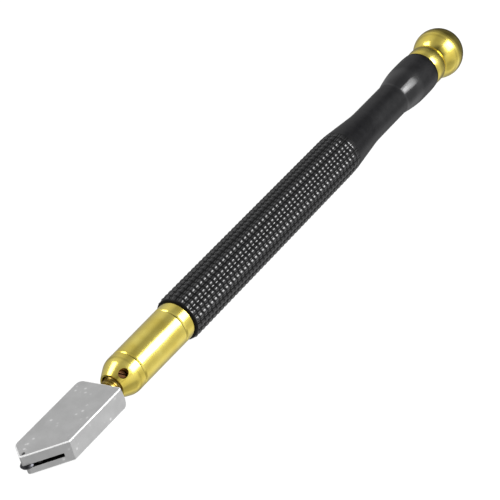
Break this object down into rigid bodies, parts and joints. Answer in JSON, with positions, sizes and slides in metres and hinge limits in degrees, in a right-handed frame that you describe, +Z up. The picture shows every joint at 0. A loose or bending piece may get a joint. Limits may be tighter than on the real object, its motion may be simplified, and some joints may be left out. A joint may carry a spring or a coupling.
{
  "type": "glass cutter",
  "caption": "Pencil-shaped oil-fed glass cutter: wide slotted steel head with a small wheel, brass valve nose, black beaded grip and brass ball cap.",
  "frame": {"origin": "bottom centre of the bounding box: halfway along the tool, straight below its axis, at the level of the ball cap's underside", "axes": "+X along the tool's axis from the cutting wheel to the ball cap; +Z up with the tool lying down; +Y to the side that the cutting wheel is on"},
  "size_m": [0.1778, 0.0126, 0.0126],
  "materials": {
    "plate_steel": "fine matt ground steel",
    "carbide": "ground dark carbide",
    "pin_steel": "dark hardened steel",
    "spring_steel": "bright drawn wire",
    "brass": "polished turned brass",
    "screw_brass": "darkened coppery brass",
    "black_plastic": "glossy black moulding",
    "nitrile": "matt black rubber",
    "valve_plastic": "off-white sealing plastic",
    "felt": "undyed wool felt"
  },
  "bodies": {
    "handle": {"handle_shell": "black_plastic", "front_insert": "brass", "front_collar": "brass", "valve_body": "brass", "valve_seat": "valve_plastic", "valve_spring": "spring_steel", "spring_washer": "brass", "oil_wick": "felt", "nose_piece": "brass", "set_screw": "screw_brass", "filler_bush": "brass", "rear_collar": "brass"},
    "valve_rod": {"push_rod": "pin_steel"},
    "head": {"head_plate": "plate_steel", "head_stem": "brass", "stem_o_ring": "nitrile", "wheel_axle": "pin_steel"},
    "wheel": {"cutting_wheel": "carbide"},
    "cap_seal": {"cap_o_ring": "nitrile"},
    "cap": {"ball_cap": "brass"}
  },
  "joints": [
    {"name": "head_press", "type": "slide", "parent": "handle", "child": "valve_rod", "axis": [1, 0, 0], "range_m": [0, 0.0008], "stiffness_N_per_m": 1500, "springref_m": -0.0015, "deforming": ["valve_spring"]},
    {"name": "head_swivel", "type": "hinge", "parent": "valve_rod", "child": "head", "pos_m": [-0.06318, 0, 0.00632], "axis": [1, 0, 0], "continuous": true},
    {"name": "wheel_spin", "type": "hinge", "parent": "head", "child": "wheel", "pos_m": [-0.08733, 0.00179, 0.00578], "axis": [0, 0.2874, 0.9578], "continuous": true},
    {"name": "cap_lift", "type": "slide", "parent": "handle", "child": "cap_seal", "axis": [1, 0, 0], "range_m": [0, 0.006]},
    {"name": "cap_turn", "type": "hinge", "parent": "cap_seal", "child": "cap", "pos_m": [0.08256, 0, 0.00632], "axis": [1, 0, 0], "range_deg": [0, 2880]}
  ],
  "couplings": [
    {"joint": "cap_lift", "follows": "cap_turn", "m_per_rad": 0.00011937}
  ]
}
